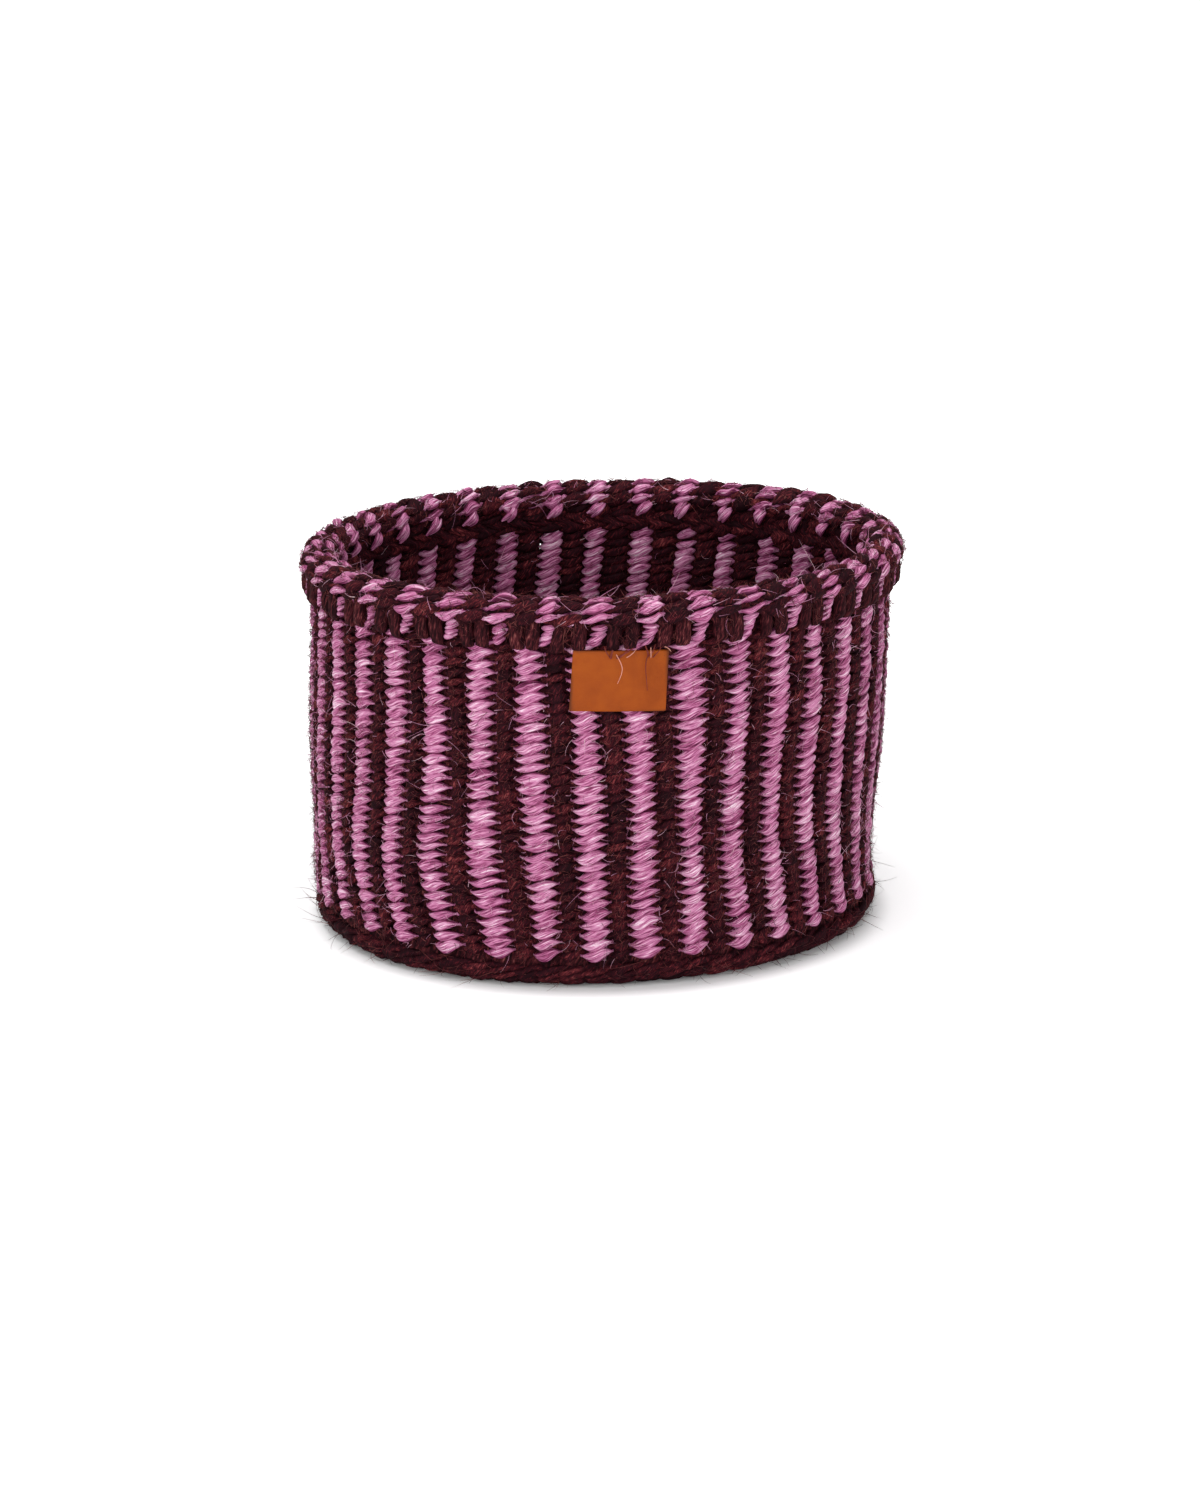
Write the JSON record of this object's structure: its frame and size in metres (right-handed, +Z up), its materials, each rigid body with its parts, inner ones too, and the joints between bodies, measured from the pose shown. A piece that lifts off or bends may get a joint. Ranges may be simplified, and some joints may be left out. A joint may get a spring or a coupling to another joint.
{
  "type": "woven storage basket",
  "caption": "Small round open storage basket, twined in pink and dark vertical stripes, with a rolled rim, a flat base and a plain leather tag.",
  "frame": {"origin": "middle of the base's flat underside", "axes": "+Z up along the basket's axis, -Y towards the front, where the leather tag hangs, +X to the right seen from the front"},
  "size_m": [0.1998, 0.1998, 0.127],
  "materials": {
    "pink_sisal": "matte fibre",
    "dark_sisal": "matte fibre",
    "thread": "matte",
    "leather": "satin"
  },
  "bodies": {
    "basket": {"base_weft": "dark_sisal", "wall_weft_pink": "pink_sisal", "wall_weft_dark": "dark_sisal", "warp_hairpin_01": "dark_sisal", "warp_hairpin_02": "dark_sisal", "warp_hairpin_03": "dark_sisal", "warp_hairpin_04": "dark_sisal", "warp_hairpin_05": "dark_sisal", "warp_hairpin_06": "dark_sisal", "warp_hairpin_07": "dark_sisal", "warp_hairpin_08": "dark_sisal", "warp_hairpin_09": "dark_sisal", "warp_hairpin_10": "dark_sisal", "warp_hairpin_11": "dark_sisal", "warp_hairpin_12": "dark_sisal", "warp_hairpin_13": "dark_sisal", "warp_hairpin_14": "dark_sisal", "warp_hairpin_15": "dark_sisal", "warp_hairpin_16": "dark_sisal", "warp_hairpin_17": "dark_sisal", "warp_hairpin_18": "dark_sisal", "warp_hairpin_19": "dark_sisal", "warp_hairpin_20": "dark_sisal", "warp_hairpin_21": "dark_sisal", "warp_hairpin_22": "dark_sisal", "warp_hairpin_23": "dark_sisal", "warp_hairpin_24": "dark_sisal", "warp_hairpin_25": "dark_sisal", "warp_hairpin_26": "dark_sisal", "warp_hairpin_27": "dark_sisal", "warp_hairpin_28": "dark_sisal", "warp_hairpin_29": "dark_sisal", "warp_hairpin_30": "dark_sisal", "warp_hairpin_31": "dark_sisal", "warp_hairpin_32": "dark_sisal", "warp_hairpin_33": "dark_sisal", "warp_hairpin_34": "dark_sisal", "warp_hairpin_35": "dark_sisal", "warp_hairpin_36": "dark_sisal", "rim_outer_round": "pink_sisal", "rim_crest_round": "dark_sisal", "tag_sewn_edge": "leather", "tag_stitch_left": "thread", "tag_stitch_right": "thread"},
    "tag": {"tag_flap": "leather"}
  },
  "joints": [
    {"name": "tag_lift", "type": "hinge", "parent": "basket", "child": "tag", "pos_m": [0.00543, -0.09716, 0.1044], "axis": [-0.9984, -0.0558, 0], "range_deg": [0, 70]}
  ]
}
